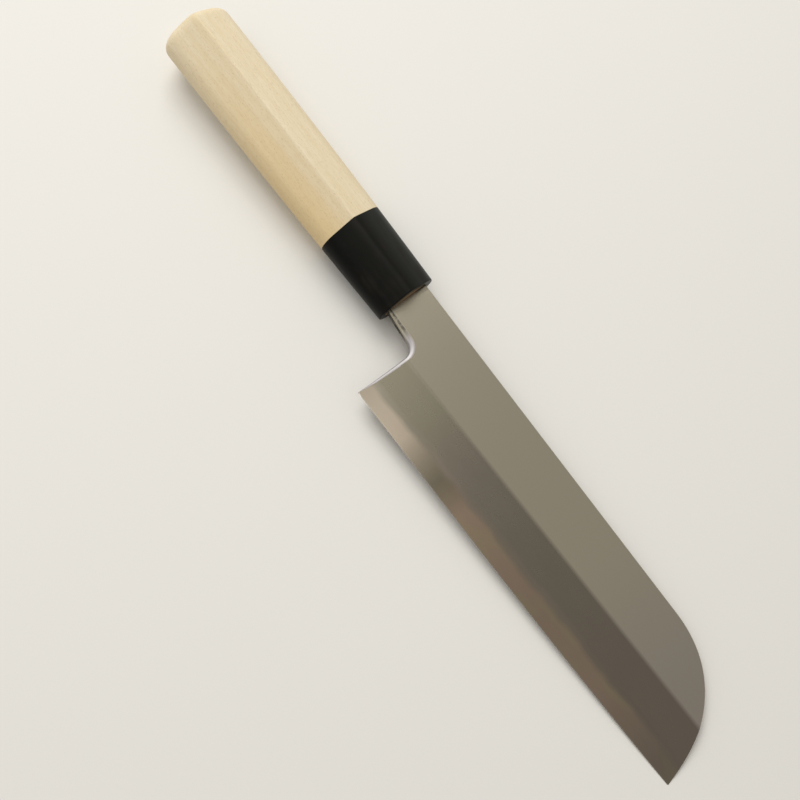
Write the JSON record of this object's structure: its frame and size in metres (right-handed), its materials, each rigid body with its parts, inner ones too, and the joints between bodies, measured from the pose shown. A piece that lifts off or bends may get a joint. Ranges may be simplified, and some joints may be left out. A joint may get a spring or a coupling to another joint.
{
  "type": "usuba knife",
  "caption": "Single-bevel vegetable knife with a straight edge and sickle tip, laminated blade, hollow-ground back, D-shaped pale wood grip and black horn ferrule.",
  "frame": {"origin": "middle of the knife's box in plan, at the level of the lowest point of the handle's rounded back", "axes": "+X along the handle and blade to the tip, +Y from the cutting edge to the spine, +Z out of the bevelled face, which looks up"},
  "size_m": [0.3316, 0.0508, 0.0236],
  "materials": {
    "soft_iron": "satin ground soft iron, greyer and hazier on the bevel than on the flat above it",
    "edge_steel": "hard carbon steel, stone-polished along the edge and bright on the hollow back",
    "magnolia_wood": "bare pale magnolia wood, smooth sanded, with fine short pores along the grain",
    "black_horn": "polished black water buffalo horn"
  },
  "bodies": {
    "root": {"soft_iron_body": "soft_iron", "edge_steel": "edge_steel", "wood_grip": "magnolia_wood", "horn_ferrule": "black_horn"}
  },
  "joints": []
}
